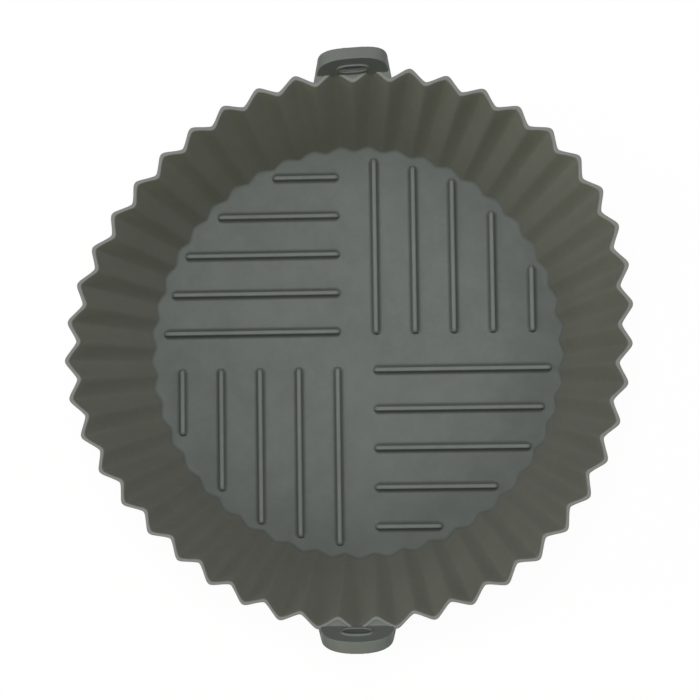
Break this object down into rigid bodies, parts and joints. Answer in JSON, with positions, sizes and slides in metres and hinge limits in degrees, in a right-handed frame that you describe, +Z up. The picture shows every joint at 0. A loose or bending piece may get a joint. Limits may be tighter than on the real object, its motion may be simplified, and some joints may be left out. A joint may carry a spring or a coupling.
{
  "type": "air fryer liner",
  "caption": "Round pleated silicone liner for an air fryer basket, with a flat ribbed floor, a flared wall and slotted lift tabs on opposite sides of the rim.",
  "frame": {"origin": "centre of the underside, on the surface that the liner stands on", "axes": "+Z up along the axis of the bowl, +Y towards the back lift tab, +X to the right when the front tab is nearest"},
  "size_m": [0.1998, 0.213, 0.0565],
  "materials": {
    "silicone_floor": "matte moulded silicone, cool grey",
    "silicone_wall": "matte moulded silicone, grey with a slight olive cast",
    "silicone_tab": "matte moulded silicone with rounded edges"
  },
  "bodies": {
    "liner": {"floor": "silicone_floor", "pleated_wall": "silicone_wall", "tab_web_back": "silicone_wall", "tab_web_front": "silicone_wall", "rib_front_right_1": "silicone_floor", "rib_front_right_2": "silicone_floor", "rib_front_right_3": "silicone_floor", "rib_front_right_4": "silicone_floor", "rib_front_right_5": "silicone_floor", "rib_back_right_1": "silicone_floor", "rib_back_right_2": "silicone_floor", "rib_back_right_3": "silicone_floor", "rib_back_right_4": "silicone_floor", "rib_back_right_5": "silicone_floor", "rib_back_left_1": "silicone_floor", "rib_back_left_2": "silicone_floor", "rib_back_left_3": "silicone_floor", "rib_back_left_4": "silicone_floor", "rib_back_left_5": "silicone_floor", "rib_front_left_1": "silicone_floor", "rib_front_left_2": "silicone_floor", "rib_front_left_3": "silicone_floor", "rib_front_left_4": "silicone_floor", "rib_front_left_5": "silicone_floor"},
    "back_tab": {"lift_tab_back": "silicone_tab"},
    "front_tab": {"lift_tab_front": "silicone_tab"}
  },
  "joints": [
    {"name": "back_tab_flex", "type": "hinge", "parent": "liner", "child": "back_tab", "pos_m": [0, 0.10213, 0.05005], "axis": [-1, 0, 0], "range_deg": [-40, 50], "stiffness_Nm_per_rad": 0.05},
    {"name": "front_tab_flex", "type": "hinge", "parent": "liner", "child": "front_tab", "pos_m": [0, -0.10213, 0.05005], "axis": [1, 0, 0], "range_deg": [-40, 50], "stiffness_Nm_per_rad": 0.05}
  ]
}
